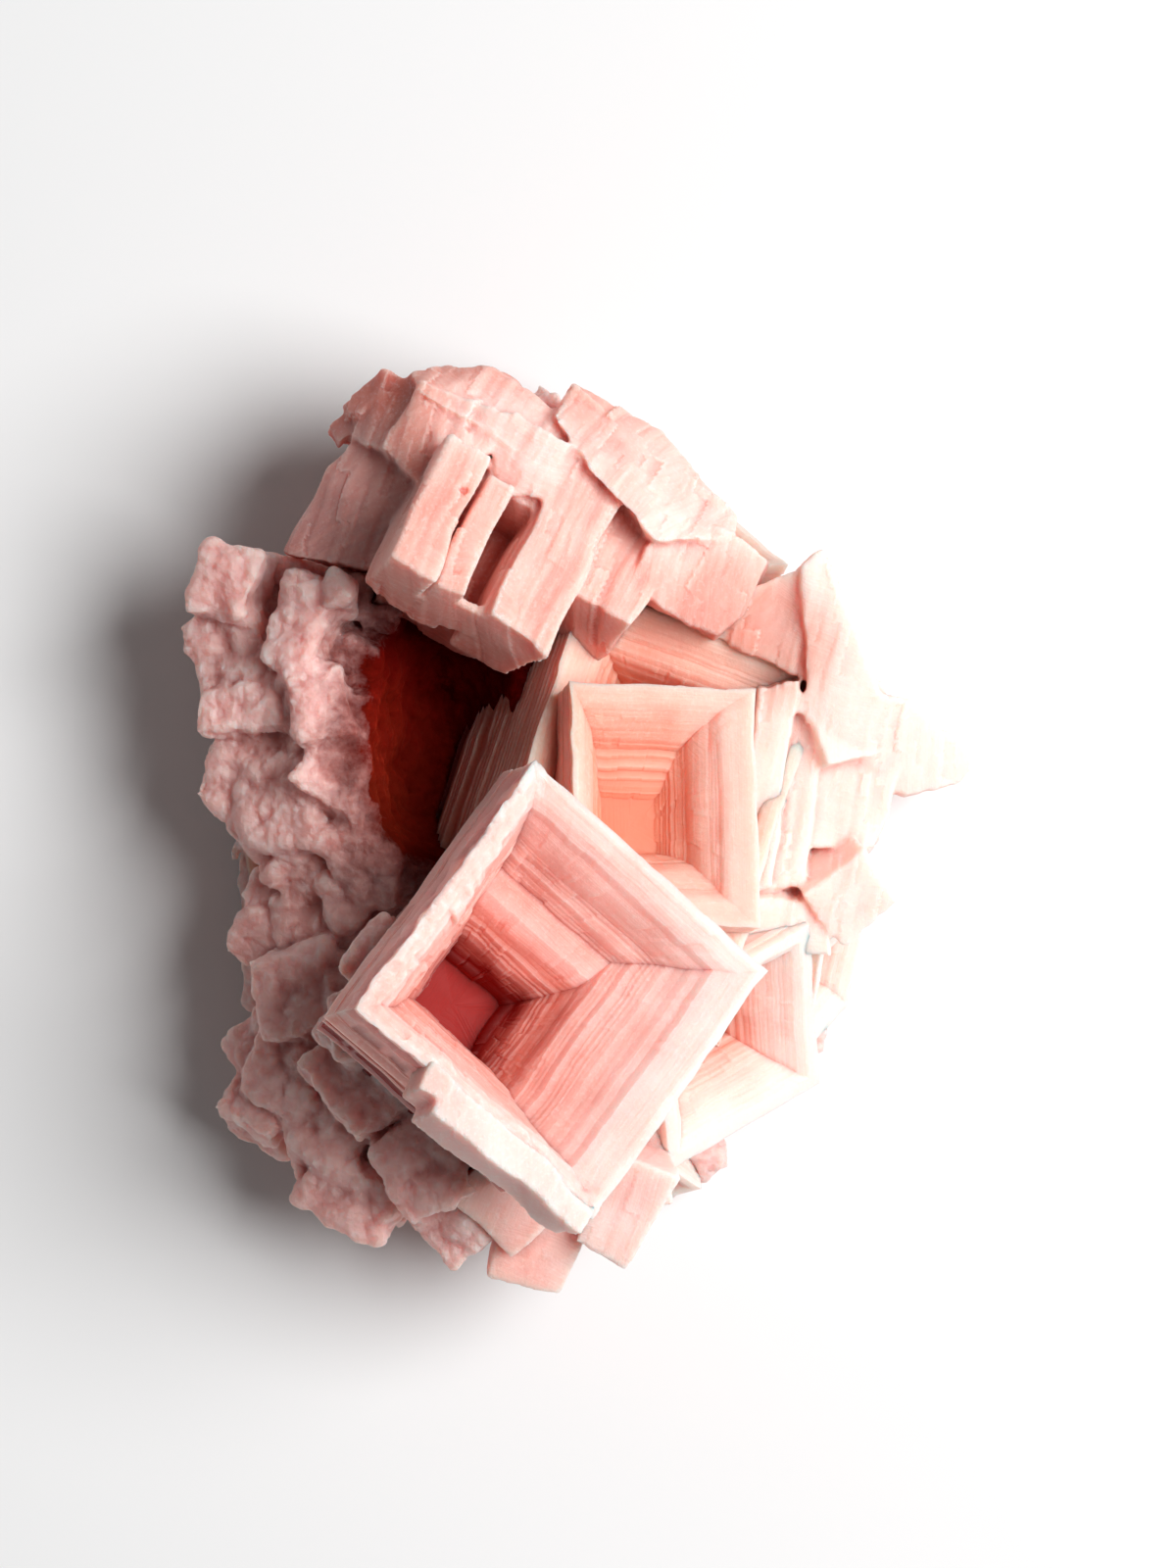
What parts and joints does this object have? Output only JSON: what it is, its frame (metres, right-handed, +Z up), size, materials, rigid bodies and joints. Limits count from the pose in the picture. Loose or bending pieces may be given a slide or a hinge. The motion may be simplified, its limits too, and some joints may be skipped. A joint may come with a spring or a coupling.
{
  "type": "halite crystal cluster",
  "caption": "Pink rock-salt cluster of stepped hopper cubes grown together on a crust of small cubes, with a flat broken base.",
  "frame": {"origin": "a point on the flat broken base, near its middle, z = 0 on the base", "axes": "+Z up from the base, +Y along the cluster's length towards the upper crystal, +X towards the wing on the right"},
  "size_m": [0.0846, 0.097, 0.0565],
  "materials": {
    "pink_halite": "cloudy translucent rose-pink rock salt, striated and frosted, deep red in its hollows"
  },
  "bodies": {
    "root": {"halite_cluster": "pink_halite"}
  },
  "joints": []
}
